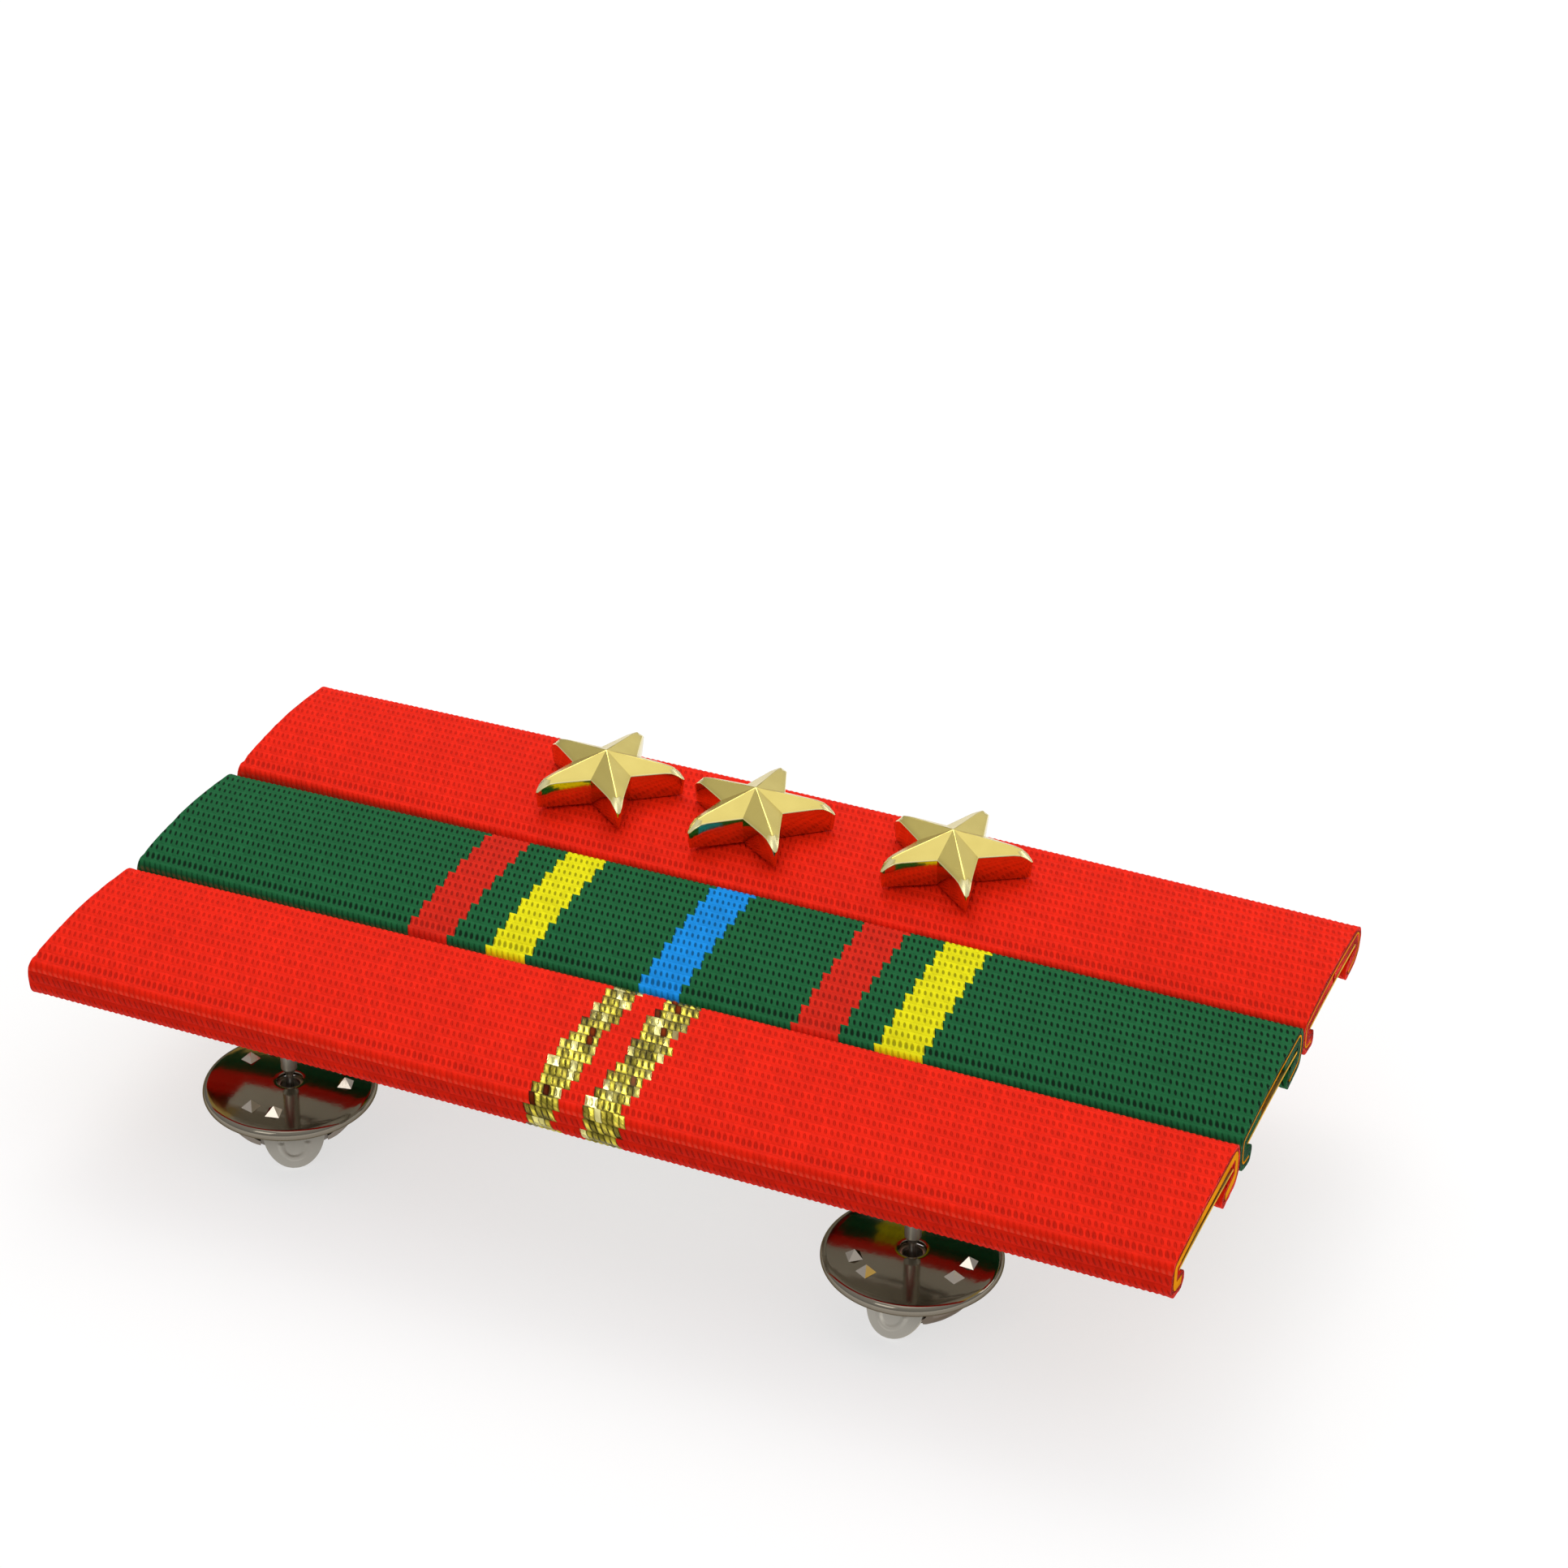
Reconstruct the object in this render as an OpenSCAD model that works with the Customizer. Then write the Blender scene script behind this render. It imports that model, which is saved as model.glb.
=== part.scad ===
// Ribbon bar of three rows on a soldered rack, held to the cloth by four butterfly clutches.
// Face up, +Z away from the wearer. X runs along the rows, +Y from the bottom row to the top row.

/* [Rows] */
// Length of every row
bar_len = 80; // [70:1:90]
// Width of one row, from front to back over the cloth
row_w = 13.7; // [13.4:0.1:14.4]
// Slit between two rows
row_slit = 0.1; // [0.05:0.05:0.3]
// How far the face rises in the middle of a row
crown = 0.2; // [0.1:0.05:0.3]
// Height of a row at the outside of its lips
root_h = 3.2; // [3.1:0.05:3.6]
// How much lower the edges of the lips hang
lip_drop = 0.45; // [0.4:0.05:0.6]
// Width of the lip on the lower side
lip_near = 2.6; // [2.5:0.1:3]
// Width of the lip on the upper side
lip_far = 3.4; // [3.2:0.1:3.8]

/* [Ribbon and brass] */
// Wall of the ribbon
ribbon_t = 1; // [1:0.05:1.1]
// Roundness of a ribbon's face edge
ribbon_r = 1.2; // [1:0.1:1.4]
// Width of the fold that closes over a lip's edge
nose_w = 1; // [0.8:0.05:1]
// Roundness of the fold
nose_r = 0.4; // [0.2:0.05:0.45]
// Sheet of the slat inside the ribbon
slat_t = 0.3; // [0.2:0.05:0.35]
// Sheet of the flat liner inside the slat
liner_t = 0.2; // [0.15:0.05:0.3]
// Room between pieces that lie on each other
gap = 0.05; // [0.03:0.01:0.06]

/* [Rack] */
// Length of the three rails
rail_len = 62.8; // [56:1:70]
// How far the rails lie off the middle of the rows
rail_shift = 0.6; // [0:0.1:2]
// Sheet of the rails
rail_t = 0.35; // [0.3:0.05:0.4]
// Bend radius of the rails, inside
rail_r = 0.2; // [0.1:0.05:0.3]
// How far a flange reaches over the lower lip
flange_lap = 0.25; // [0.2:0.05:0.5]
// Place of the bend, from the middle of a row
bend_y = 1; // [0.5:0.1:1.2]
// How far a band reaches over the upper lip
band_lap = 0.3; // [0.2:0.05:0.6]
// Length of the plate along the rows
plate_len = 22; // [18:1:26]
// How far the plate lies off the middle of the rows
plate_shift = 0.9; // [0:0.1:2]
// Thickness of the plate
plate_t = 0.5; // [0.4:0.05:0.8]

/* [Pins] */
// Half of the distance between the pins along the rows
pin_x = 22.6; // [20:0.2:25]
// How far the pins lie off the middle, along the rows
pin_shift = -1.4; // [-2:0.1:2]
// Place of the pins, from the middle of a row
pin_off = -0.8; // [-1:0.1:0]
// Radius of a pin
pin_r = 0.55; // [0.5:0.05:0.6]
// Radius of a pin's neck
neck_r = 0.25; // [0.2:0.05:0.3]
// Length of a pin's neck
neck_len = 1.55; // [1.5:0.05:1.8]
// Radius of a pin's head, behind its point
head_r = 0.45; // [0.4:0.05:0.5]
// Radius of the end of the point
point_r = 0.06; // [0.05:0.01:0.1]
// Length of a pin's point
point_len = 1.3; // [1:0.1:1.4]
// How far the shoulder of a pin stands off a clutch
shoulder_gap = 0.7; // [0.6:0.1:0.9]
// Length of the taper at a pin's shoulder
taper_len = 0.45; // [0.3:0.05:0.6]

/* [Clutches] */
// Distance from the lips to the clutches
cloth_gap = 5.8; // [5.7:0.1:8]
// Radius of a clutch
disc_r = 5.9; // [5.7:0.1:6.1]
// Radius of the hole in a clutch
hole_r = 0.875; // [0.8:0.025:1]
// Sheet of a clutch's disc
disc_t = 0.3; // [0.25:0.05:0.3]
// Width of the rolled rim
rim_w = 1; // [0.9:0.05:1.1]
// Height of the rolled rim
rim_h = 0.9; // [0.85:0.05:1.1]
// Sheet of a clutch's hood
hood_t = 0.25; // [0.2:0.05:0.3]
// Depth of a hood, from the face of the disc
hood_h = 4.5; // [4.4:0.1:4.8]
// Half of a hood's width between its openings, at its top
hood_top = 1.75; // [1.6:0.05:1.9]
// Half of a hood's width between its openings, at its foot
hood_foot = 3.5; // [3.3:0.1:3.7]
// Radius of the hole in a spring
jaw_r = 0.66; // [0.65:0.01:0.75]
// Sheet of a clutch's spring
spring_t = 0.25; // [0.2:0.05:0.3]
// Width of a spring and of its ears
ear_w = 4.2; // [3.8:0.1:4.4]
// Half of the flat foot of a spring
ear_root = 1; // [0.9:0.05:1.1]
// Place of an ear's knee, off the pin
knee_out = 1.5; // [1.4:0.05:1.6]
// Depth of an ear's knee
knee_h = 2.8; // [2.6:0.1:3]
// Place of an ear's tip, off the pin
ear_out = 3.1; // [2.9:0.1:3.4]
// Depth of an ear's tip, from the face of the disc
ear_h = 5.1; // [5:0.1:5.4]
// Room round an ear where it comes out of the hood
ear_room = 0.15; // [0.1:0.05:0.25]
// Half of a nib's foot on the disc
nib_w = 0.55; // [0.4:0.05:0.6]
// Height of a nib
nib_h = 0.55; // [0.4:0.05:0.6]
// Radius of the circle of nibs
nib_ring = 3.8; // [3.6:0.1:4]
// Half of the angle between the two nibs of a pair
nib_spread = 13; // [12:1:16]
// Turn of the nibs from the ears of the spring
nib_turn = 88; // [80:1:95]

/* [Stars] */
// Radius over a star's tips
star_r = 5.5; // [4:0.1:6]
// Radius at a star's inner corners
star_in = 2.45; // [2:0.05:2.7]
// Height of a star's wall at the tips
star_tip_h = 1.4; // [1:0.1:1.6]
// Height of a star's wall at the inner corners
star_in_h = 2; // [1.8:0.1:2.1]
// Height of a star's ridges before their tips bend down
star_ridge_h = 2.3; // [2.2:0.05:2.5]
// Height of a star's middle
star_h = 3.2; // [2.9:0.1:3.5]
// How far the stars lie above the middle of the top row
star_up = 0.6; // [0:0.1:1]

/* [Hidden] */

// Steps in a bend and over the crown
bend_n = 8;
crown_n = 10;
// Smallest inside radius of a bend
bend_min = 0.15;
$fn = 72;

// Rows: 0 is the bottom row, 2 the top row
row_names = ["bottom", "middle", "top"];
row_count = len(row_names);
row_colours = ["#cf1a16", "#135c36", "#d81f1a"];
pitch = row_w + row_slit;

// A row lies about its middle, and its rail's band reaches from the bend to over the upper lip
band_end = row_w / 2 - lip_far + band_lap;
function row_y(row) = (row - (row_count - 1) / 2) * pitch;

// Depths under the cloth's face: inside of the ribbon, both faces of the slat and of the liner
slat_out = ribbon_t + gap;
slat_in = slat_out + slat_t;
liner_out = slat_in + gap;
liner_in = liner_out + liner_t;

// Levels under the top of the crown
lips_low = root_h + lip_drop;
crown_r = (pow(row_w / 2, 2) + crown * crown) / (2 * crown);
function crown_z(depth, y) = sqrt(pow(crown_r - depth, 2) - y * y) - crown_r;
flange_y = lip_near - flange_lap - row_w / 2;
flange_top = crown_z(liner_in, flange_y) - gap;
band_top = -lips_low - gap;
band_low = band_top - rail_t;

// The whole stands on the ears of the clutches
top_z = ear_h + cloth_gap + lips_low;
shoulder_z = ear_h + shoulder_gap;

// Clutches: names, which row carries the pin, side of the middle, and turn of the ears
clutch_names = ["near_left", "near_right", "far_left", "far_right"];
clutch_rows = [0, 0, row_count - 1, row_count - 1];
clutch_sides = [-1, 1, -1, 1];
clutch_turns = [-58, -100, 50, 76];
function clutch_xy(i) =
  [clutch_sides[i] * pin_x + pin_shift, row_y(clutch_rows[i]) + pin_off];

// Stars: places along the row as shares of its length, places up from the others, and turns
star_names = ["left", "centre", "right"];
star_shares = [-0.1745, -0.028, 0.1545];
star_lifts = [0.05, -0.3, 0.15];
star_turns = [-2, 1.7, -5];

function arc_pts(c, r, a0, a1, n) =
  [for (i = [0:n]) let (a = a0 + (a1 - a0) * i / n) c + r * [cos(a), sin(a)]];
function flip(pts) = [for (i = [len(pts) - 1:-1:0]) pts[i]];
function other_side(pts) = [for (p = pts) [-p[0], p[1]]];

// A point on a lip: u along it from the outside of the row, v up through its thickness
function lip_pt(lip_w, u, v) =
  let (a = atan(lip_drop / lip_w))
  [row_w / 2 - u * cos(a) - v * sin(a), -root_h - u * sin(a) + v * cos(a)];

// One side of a row from its lip to its face, at a depth under the cloth
function side_pts(depth, lip_w) =
  let (
    x = row_w / 2 - depth,
    a = atan(lip_drop / lip_w),
    b = asin(x / (crown_r - depth)),
    r = max(ribbon_r - depth, bend_min),
    low = [x - r, (depth + r) * (1 - sin(a)) / cos(a) - root_h],
    high = [x - r, crown_z(depth, x) - r * (1 - sin(b)) / cos(b)]
  )
  concat(arc_pts(low, r, a - 90, 0, bend_n), arc_pts(high, r, 0, 90 - b, bend_n));

// The face of a row at a depth, from its upper side to its lower side
function face_pts(depth) =
  let (half = row_w / 2 - max(depth, ribbon_r) - bend_min)
  [for (i = [0:crown_n]) let (y = half * (1 - 2 * i / crown_n)) [y, crown_z(depth, y)]];

// A closed strip round the row between two depths, with the same ends on both lips
function wrap_pts(depth_out, depth_in, far_end, near_end) = concat(
  far_end, side_pts(depth_out, lip_far), face_pts(depth_out),
  flip(other_side(concat(near_end, side_pts(depth_out, lip_near)))),
  other_side(side_pts(depth_in, lip_near)), flip(face_pts(depth_in)),
  flip(side_pts(depth_in, lip_far))
);

// The fold of the ribbon over a lip's edge, from its inside to its underside
function nose_pts(lip_w) =
  let (a = atan(lip_drop / lip_w), tip = lip_w / cos(a))
  [for (p = concat(
    [[tip - nose_w, ribbon_t], [tip - nose_w, slat_in]],
    arc_pts([tip - nose_r, slat_in - nose_r], nose_r, 90, 0, bend_n),
    arc_pts([tip - nose_r, nose_r], nose_r, 0, -90, bend_n)
  )) lip_pt(lip_w, p[0], p[1])];

// The end of the slat inside that fold
function hook_pts(lip_w) =
  let (a = atan(lip_drop / lip_w), tip = lip_w / cos(a) - nose_w - gap)
  [lip_pt(lip_w, tip, slat_in), lip_pt(lip_w, tip, slat_out)];

// Extrudes a section drawn across the rows (y, z) along X, centred on a place
module along_rows(length, centre = 0) {
  translate([centre - length / 2, 0, 0])
    rotate([90, 0, 90]) linear_extrude(length) children();
}

module ribbon(row) {
  color(row_colours[row]) translate([0, row_y(row), top_z]) along_rows(bar_len)
    polygon(wrap_pts(0, ribbon_t, nose_pts(lip_far), nose_pts(lip_near)));
}

module slat(row) {
  color("#c9a24a") translate([0, row_y(row), top_z]) along_rows(bar_len)
    polygon(wrap_pts(slat_out, slat_in, hook_pts(lip_far), hook_pts(lip_near)));
}

module liner(row) {
  half = row_w / 2 - slat_in - 2 * gap;
  ys = [for (i = [0:crown_n]) half * (1 - 2 * i / crown_n)];
  color("#c7b05a") translate([0, row_y(row), top_z]) along_rows(bar_len)
    polygon(concat(
      [for (y = ys) [y, crown_z(liner_out, y)]],
      flip([for (y = ys) [y, crown_z(liner_in, y)]])
    ));
}

// Z-bent sheet: flange under the liner, wall, and band over the upper lip
module rail_section() {
  wall = bend_y;
  outer = rail_r + rail_t;
  low = band_low;
  polygon(concat(
    [[flange_y, flange_top], [flange_y, flange_top - rail_t]],
    arc_pts([wall - rail_r, flange_top - rail_t - rail_r], rail_r, 90, 0, bend_n),
    arc_pts([wall + outer, low + outer], outer, 180, 270, bend_n),
    [[band_end, low], [band_end, band_top]],
    arc_pts([wall + outer, low + outer], rail_r, 270, 180, bend_n),
    arc_pts([wall - rail_r, flange_top - rail_t - rail_r], outer, 0, 90, bend_n)
  ));
}

// A pin stands under a rail's flange
module pin() {
  point_z = shoulder_z - neck_len;
  root_z = top_z + flange_top - rail_t + gap;
  taper_z = shoulder_z + taper_len;
  translate([0, 0, taper_z]) cylinder(h = root_z - taper_z, r = pin_r);
  translate([0, 0, shoulder_z]) cylinder(h = taper_len, r1 = neck_r + gap, r2 = pin_r);
  translate([0, 0, point_z]) cylinder(h = neck_len + gap, r = neck_r);
  translate([0, 0, point_z - point_len]) cylinder(h = point_len, r1 = point_r, r2 = head_r);
}

module rack() {
  plate_y0 = row_y(0) + bend_y;
  plate_y1 = row_y(row_count - 1) + band_end;
  color("#b9b6ab") {
    for (row = [0:row_count - 1])
      translate([0, row_y(row), top_z]) along_rows(rail_len, rail_shift) rail_section();
    translate([plate_shift - plate_len / 2, plate_y0, top_z + band_low - plate_t])
      cube([plate_len, plate_y1 - plate_y0, plate_t + gap]);
    for (i = [0:3])
      translate(clutch_xy(i)) pin();
  }
}

// Puts a clutch piece, drawn with its depth from the disc's face along +Z, on its pin
module on_pin(i) {
  translate(concat(clutch_xy(i), [ear_h])) rotate(clutch_turns[i]) mirror([0, 0, 1]) children();
}

// Four-sided nib standing off the disc's face towards the cloth
module nib() {
  side = [[-nib_w, 0], [nib_w, 0], [0, -nib_h]];
  intersection() {
    rotate([90, 0, 0]) linear_extrude(2 * nib_w, center = true) polygon(side);
    rotate([90, 0, 90]) linear_extrude(2 * nib_w, center = true) polygon(side);
  }
}

module clutch_disc(i) {
  half = rim_h / 2;
  slot_h = disc_t + hood_t + 2 * gap;
  slot_r = disc_r - disc_t - gap;
  color("#c2bfb4") on_pin(i) {
    rotate_extrude() polygon(concat(
      [[hole_r, disc_t], [hole_r, 0]],
      arc_pts([disc_r - half, half], half, -90, 90, 2 * bend_n),
      [[disc_r - rim_w, rim_h], [disc_r - rim_w, slot_h], [slot_r, slot_h], [slot_r, disc_t]]
    ));
    for (pair = [0:2], side = [-1, 1])
      rotate(120 * pair + nib_turn + side * nib_spread) translate([nib_ring, 0, gap]) nib();
  }
}

// Half of the section of a bell, from its foot to its top
function bell_pts(r, z0, z1) =
  [for (k = [0:2 * bend_n]) let (a = 90 * k / (2 * bend_n)) [r * cos(a), z0 + (z1 - z0) * sin(a)]];

module clutch_hood(i) {
  foot_z = disc_t + gap;
  bell_r = disc_r - rim_w - gap;
  skirt_r = disc_r - disc_t - 2 * gap;
  bell_z = foot_z + hood_t;
  lean = atan((hood_foot - hood_top) / (hood_h - rim_h));
  color("#bdb9ae") on_pin(i) difference() {
    rotate_extrude() polygon(concat(
      [[skirt_r, foot_z], [skirt_r, bell_z]],
      bell_pts(bell_r, bell_z, hood_h),
      flip(bell_pts(bell_r - hood_t, foot_z, hood_h - hood_t))
    ));
    for (side = [0, 180])
      rotate(side) {
        translate([hood_foot, -disc_r, rim_h]) rotate([0, -lean, 0])
          cube([disc_r, 2 * disc_r, 2 * hood_h]);
        rotate([90, 0, 0]) linear_extrude(ear_w + 2 * ear_room, center = true)
          polygon([
            [knee_out - spring_t - ear_room, knee_h], [ear_out - spring_t - ear_room, ear_h],
            [disc_r, ear_h], [disc_r, knee_h]
          ]);
      }
  }
}

// Section of the spring (off the pin, depth): flat foot, and a knee and an ear on both sides
module spring_section() {
  foot_z = disc_t + gap;
  outside = [[ear_root, foot_z], [knee_out, knee_h], [ear_out, ear_h]];
  inside = [[ear_out - spring_t, ear_h], [knee_out - spring_t, knee_h],
    [ear_root - spring_t, foot_z + spring_t]];
  half = concat(outside, inside);
  polygon(concat(half, flip(other_side(half))));
}

module clutch_spring(i) {
  color("#b3ada0") on_pin(i) difference() {
    intersection() {
      rotate([90, 0, 0]) linear_extrude(ear_w, center = true) spring_section();
      rotate([90, 0, 90]) linear_extrude(3 * ear_out, center = true) {
        translate([-ear_w / 2, 0]) square([ear_w, ear_h - ear_w / 2]);
        translate([0, ear_h - ear_w / 2]) circle(d = ear_w);
      }
    }
    cylinder(h = 3 * spring_t + disc_t, r = jaw_r);
  }
}

// Domed five-pointed star: ten walls whose tops bend down near the tips, and a ridge along each arm
module star(i) {
  ridge_end = 0.87;
  edge_end = 0.6;
  function at(r, a, z) = [r * cos(a), r * sin(a), z];
  function mid(p, q, share) = p + (q - p) * share;
  outline = [for (k = [0:9]) at(k % 2 == 0 ? star_r : star_in, 36 * k, 0)];
  rim = [for (k = [0:9]) outline[k] + [0, 0, k % 2 == 0 ? star_tip_h : star_in_h]];
  edge = [for (k = [0:9]) let (inner = k % 2 == 0 ? (k + 1) % 10 : k, tip = k % 2 == 0 ? k : (k + 1) % 10)
    mid(outline[inner], outline[tip], edge_end) + [0, 0, star_in_h]];
  ridge = [for (k = [0:4]) at(ridge_end * star_r, 72 * k, star_ridge_h)];
  walls = [for (k = [0:9]) [k, 10 + k, 20 + k, 10 + (k + 1) % 10, (k + 1) % 10]];
  left = [for (k = [0:4]) let (tip = 10 + 2 * k, bent = 20 + 2 * k, inner = 11 + 2 * k)
    each [[tip, 30 + k, bent], [bent, 30 + k, inner], [inner, 30 + k, 35]]];
  right = [for (k = [0:4]) let (tip = 10 + 2 * k, bent = 20 + (2 * k + 9) % 10, inner = 10 + (2 * k + 9) % 10)
    each [[bent, 30 + k, tip], [inner, 30 + k, bent], [35, 30 + k, inner]]];
  color("#d2b24a")
    translate([
      star_shares[i] * bar_len,
      row_y(row_count - 1) + star_up + star_lifts[i],
      top_z + gap
    ])
      rotate(18 + star_turns[i])
        polyhedron(
          concat(outline, rim, edge, ridge, [[0, 0, star_h]]),
          concat([[for (k = [0:9]) k]], walls, left, right)
        );
}

for (row = [0:row_count - 1]) {
  ribbon(row);
  slat(row);
  liner(row);
}
rack();
for (i = [0:2])
  star(i);
for (i = [0:3]) {
  clutch_disc(i);
  clutch_hood(i);
  clutch_spring(i);
}
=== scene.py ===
import math

import bmesh
import bpy
from mathutils import Matrix, Vector, noise


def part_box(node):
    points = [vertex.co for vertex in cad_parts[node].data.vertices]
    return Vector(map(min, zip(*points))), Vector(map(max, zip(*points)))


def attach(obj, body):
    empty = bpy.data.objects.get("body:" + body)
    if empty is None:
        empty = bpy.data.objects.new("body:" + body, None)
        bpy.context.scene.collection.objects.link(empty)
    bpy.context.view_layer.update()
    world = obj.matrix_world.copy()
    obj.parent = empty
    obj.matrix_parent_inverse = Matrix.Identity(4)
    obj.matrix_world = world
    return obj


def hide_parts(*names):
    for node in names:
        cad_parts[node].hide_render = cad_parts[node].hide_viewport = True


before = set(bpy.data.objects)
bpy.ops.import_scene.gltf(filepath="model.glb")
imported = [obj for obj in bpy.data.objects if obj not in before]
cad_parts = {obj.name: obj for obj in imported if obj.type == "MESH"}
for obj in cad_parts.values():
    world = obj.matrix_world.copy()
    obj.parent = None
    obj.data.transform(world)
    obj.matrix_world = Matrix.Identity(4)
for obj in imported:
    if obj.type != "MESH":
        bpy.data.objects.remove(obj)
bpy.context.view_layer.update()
mm = 0.001
rowNames = ["bottom", "middle", "top"]
starNames = ["left", "centre", "right"]


# Camera, light and floor

cameraView = {
    "azimuth": -22.757, "elevation": 31.306, "roll": 0.709,  # degrees
    "distance": 0.30256,
    "aim": (-0.011931, 0.042274, 0),  # where the middle of the picture meets the floor
    "lens": 88.02, "sensor": 36,
}


def makeCamera():
    azimuth, elevation, roll = (math.radians(cameraView[k]) for k in ("azimuth", "elevation", "roll"))
    forward = Vector((math.sin(azimuth) * math.cos(elevation), math.cos(azimuth) * math.cos(elevation),
                      -math.sin(elevation)))
    right = Vector((math.cos(azimuth), -math.sin(azimuth), 0))
    up = right.cross(forward)
    rolledRight = math.cos(roll) * right + math.sin(roll) * up
    rolledUp = math.cos(roll) * up - math.sin(roll) * right
    turn = Matrix((rolledRight, rolledUp, -forward)).transposed().to_4x4()
    data = bpy.data.cameras.new("camera")
    data.lens = cameraView["lens"]
    data.sensor_width = cameraView["sensor"]
    data.clip_start = 0.01
    camera = bpy.data.objects.new("camera", data)
    place = Vector(cameraView["aim"]) - cameraView["distance"] * forward
    camera.matrix_world = Matrix.Translation(place) @ turn
    bpy.context.scene.collection.objects.link(camera)
    bpy.context.scene.camera = camera


softboxes = [
    {"name": "keyBox", "place": (-0.30, 0.42, 0.72), "size": 0.5, "power": 2.45, "tint": (1, 0.99, 0.97)},
    {"name": "topBox", "place": (0.10, 0.10, 0.85), "size": 1.0, "power": 1.8, "tint": (1, 1, 1)},
    {"name": "backBox", "place": (0.10, 0.90, 0.50), "size": 0.9, "power": 1.0, "tint": (1, 1, 1)},
    {"name": "rightBox", "place": (0.72, 0.39, 0.34), "size": 0.35, "power": 0.55, "tint": (1, 1, 1)},
    {"name": "frontBox", "place": (-0.13, -0.67, 0.58), "size": 0.3, "power": 0.4, "tint": (1, 1, 1)},
]


def makeLights():
    for box in softboxes:
        data = bpy.data.lights.new(box["name"], "AREA")
        data.shape = "SQUARE"
        data.size = box["size"]
        data.energy = box["power"]
        data.color = box["tint"]
        lamp = bpy.data.objects.new(box["name"], data)
        lamp.location = box["place"]
        lamp.rotation_euler = (-Vector(box["place"])).to_track_quat("-Z", "Y").to_euler()
        bpy.context.scene.collection.objects.link(lamp)


room = {
    "low": (0.62, 0.62, 0.63, 1), "high": (1, 1, 1, 1), "highFrom": 0.7,  # the sky's tones, by height
    "strength": 0.6,
    "floorSize": 1.5, "floorTones": ((0.36, 0.36, 0.36), (0.38, 0.38, 0.38)), "toneScale": 3,
    "floorRoughness": 0.9,
    "floorGlow": 0.62,  # the table is softly lit from below, as for a catalogue picture
}


def makeRoom():
    world = bpy.data.worlds.new("studio")
    bpy.context.scene.world = world
    world.use_nodes = True
    tree = world.node_tree
    coords = tree.nodes.new("ShaderNodeTexCoord")
    split = tree.nodes.new("ShaderNodeSeparateXYZ")
    tree.links.new(coords.outputs["Generated"], split.inputs[0])
    ramp = tree.nodes.new("ShaderNodeValToRGB")
    ramp.color_ramp.elements[0].position = 0.0
    ramp.color_ramp.elements[0].color = room["low"]
    ramp.color_ramp.elements[1].position = room["highFrom"]
    ramp.color_ramp.elements[1].color = room["high"]
    tree.links.new(split.outputs["Z"], ramp.inputs[0])
    background = tree.nodes["Background"]
    background.inputs["Strength"].default_value = room["strength"]
    tree.links.new(ramp.outputs[0], background.inputs["Color"])
    bm = bmesh.new()
    bmesh.ops.create_grid(bm, x_segments=4, y_segments=4, size=room["floorSize"])
    floor = newPiece("floor", bm, [makePaper()])


def newPiece(name, bm, materials):
    mesh = bpy.data.meshes.new(name)
    bm.to_mesh(mesh)
    bm.free()
    for material in materials:
        mesh.materials.append(material)
    piece = bpy.data.objects.new(name, mesh)
    bpy.context.scene.collection.objects.link(piece)
    return piece


# Smooth faces, with edges kept sharp where they bend by more than the angle
def shadeByAngle(bm, degrees):
    for face in bm.faces:
        face.smooth = True
    for edge in bm.edges:
        edge.smooth = len(edge.link_faces) < 2 or edge.calc_face_angle() < math.radians(degrees)


# Small steps in a material's nodes

def newMaterial(name):
    material = bpy.data.materials.new(name)
    material.use_nodes = True
    return material, material.node_tree, material.node_tree.nodes["Principled BSDF"]


def calc(tree, operation, *values):
    node = tree.nodes.new("ShaderNodeMath")
    node.operation = operation
    for i, value in enumerate(values):
        if isinstance(value, (int, float)):
            node.inputs[i].default_value = value
        else:
            tree.links.new(value, node.inputs[i])
    return node.outputs[0]


def plus(tree, first, second):
    return calc(tree, "ADD", first, second)


def minus(tree, first, second):
    return calc(tree, "SUBTRACT", first, second)


def times(tree, first, second):
    return calc(tree, "MULTIPLY", first, second)


def fadeIn(tree, value, low, high):
    node = tree.nodes.new("ShaderNodeMapRange")
    node.interpolation_type = "SMOOTHSTEP"
    tree.links.new(value, node.inputs["Value"])
    node.inputs["From Min"].default_value = low
    node.inputs["From Max"].default_value = high
    return node.outputs["Result"]


def blendColours(tree, factor, first, second, way="MIX"):
    node = tree.nodes.new("ShaderNodeMix")
    node.data_type = "RGBA"
    node.blend_type = way
    for socket, value in zip((node.inputs[0], node.inputs[6], node.inputs[7]), (factor, first, second)):
        if isinstance(value, (int, float)):
            socket.default_value = value
        elif isinstance(value, tuple):
            socket.default_value = (*value, 1)
        else:
            tree.links.new(value, socket)
    return node.outputs[2]


def objectPlace(tree):
    return tree.nodes.new("ShaderNodeTexCoord").outputs["Object"]


def cloud(tree, scale, detail=2, stretch=(1, 1, 1)):
    mapping = tree.nodes.new("ShaderNodeMapping")
    mapping.inputs["Scale"].default_value = stretch
    tree.links.new(objectPlace(tree), mapping.inputs[0])
    node = tree.nodes.new("ShaderNodeTexNoise")
    node.inputs["Scale"].default_value = scale
    node.inputs["Detail"].default_value = detail
    tree.links.new(mapping.outputs[0], node.inputs["Vector"])
    return node.outputs[0]


def speckle(tree, *values):
    node = tree.nodes.new("ShaderNodeTexWhiteNoise")
    node.noise_dimensions = "3D"
    join = tree.nodes.new("ShaderNodeCombineXYZ")
    for i, value in enumerate(values):
        if isinstance(value, (int, float)):
            join.inputs[i].default_value = value
        else:
            tree.links.new(value, join.inputs[i])
    tree.links.new(join.outputs[0], node.inputs["Vector"])
    return node.outputs["Value"]


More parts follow.
